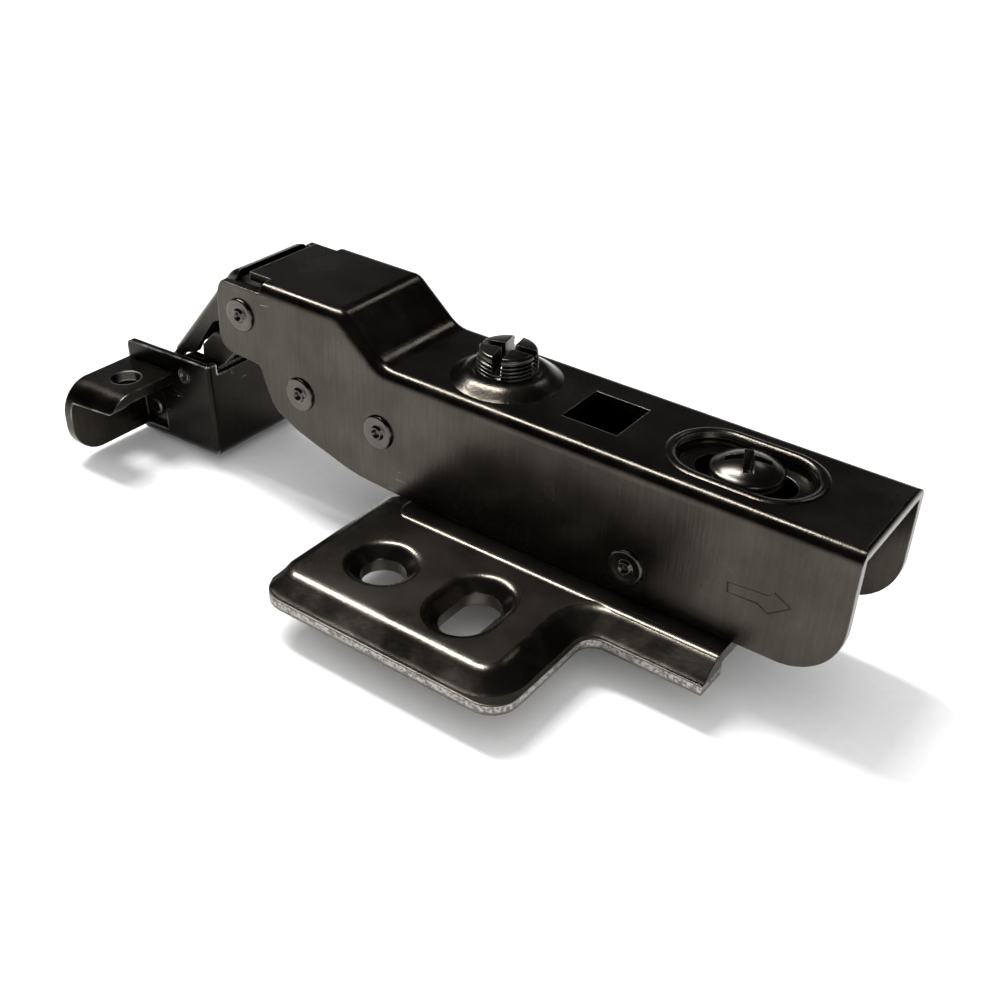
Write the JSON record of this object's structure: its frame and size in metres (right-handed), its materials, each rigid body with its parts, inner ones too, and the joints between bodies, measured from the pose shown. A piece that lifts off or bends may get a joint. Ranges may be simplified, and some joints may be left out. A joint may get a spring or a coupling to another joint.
{
  "type": "concealed clip-on cabinet hinge",
  "caption": "Concealed clip-on cabinet hinge with a pressed mounting plate, folded channel arm, two links and a narrow winged cup, shown open.",
  "frame": {"origin": "on the cabinet side's surface, midway between the plate's wings and in line with its two round screw holes", "axes": "+X from the cup towards the rear end of the arm, +Y along the pivots away from the picture's viewer, +Z off the cabinet side"},
  "size_m": [0.0852, 0.0498, 0.0235],
  "materials": {
    "steel_sheet": "black-nickel plated pressed steel, satin",
    "steel_dark": "black-nickel plated steel, dark satin",
    "rivet_steel": "black-nickel plated rivet, slightly brighter",
    "screw_steel": "black-nickel plated machine screw",
    "spring_wire": "oiled spring wire"
  },
  "bodies": {
    "base": {"mounting_plate": "steel_sheet", "hook_bar": "rivet_steel", "adapter": "steel_dark", "clip_lever_pin": "rivet_steel", "clip_spring": "spring_wire"},
    "arm": {"hinge_arm": "steel_sheet", "guide_pin": "rivet_steel", "outer_link_pin": "rivet_steel", "inner_link_pin": "rivet_steel", "spring_axle": "rivet_steel", "closing_spring_near": "spring_wire", "closing_spring_far": "spring_wire"},
    "depth_stud": {"depth_screw": "screw_steel"},
    "side_stud": {"side_screw": "screw_steel"},
    "release_lever": {"clip_lever": "steel_dark"},
    "outer_arm": {"outer_link": "steel_dark"},
    "inner_arm": {"inner_link": "steel_dark"},
    "door_cup": {"cup": "steel_sheet", "wing_bracket": "steel_sheet", "cup_inner_pin": "rivet_steel", "cup_outer_pin": "rivet_steel"}
  },
  "joints": [
    {"name": "depth_slide", "type": "slide", "parent": "base", "child": "arm", "axis": [1, 0, 0], "range_m": [-0.002, 0.002]},
    {"name": "depth_screw_turn", "type": "hinge", "parent": "base", "child": "depth_stud", "pos_m": [0.0272, 0, 0.012], "axis": [0, 0, 1], "range_deg": [0, 360]},
    {"name": "side_screw_turn", "type": "hinge", "parent": "arm", "child": "side_stud", "pos_m": [0.002, 0, 0.014], "axis": [0, 0, 1], "range_deg": [-360, 360]},
    {"name": "release_lever_turn", "type": "hinge", "parent": "base", "child": "release_lever", "pos_m": [0.0264, 0, 0.0066], "axis": [0, -1, 0], "range_deg": [0, 20], "stiffness_Nm_per_rad": 0.1, "springref_deg": -17.19},
    {"name": "outer_link_turn", "type": "hinge", "parent": "arm", "child": "outer_arm", "pos_m": [-0.0262, 0, 0.0162], "axis": [0, 1, 0], "range_deg": [0, 18.55]},
    {"name": "cup_fold", "type": "hinge", "parent": "outer_arm", "child": "door_cup", "pos_m": [-0.0365, 0, 0.0016], "axis": [0, 1, 0], "range_deg": [0, 73.5]},
    {"name": "inner_link_turn", "type": "hinge", "parent": "arm", "child": "inner_arm", "pos_m": [-0.0184, 0, 0.00985], "axis": [0, 1, 0], "range_deg": [-3.36, 0]}
  ],
  "couplings": [
    {"joint": "outer_link_turn", "follows": "cup_fold", "ratio": 0.2517},
    {"joint": "inner_link_turn", "follows": "cup_fold", "ratio": -0.045}
  ]
}
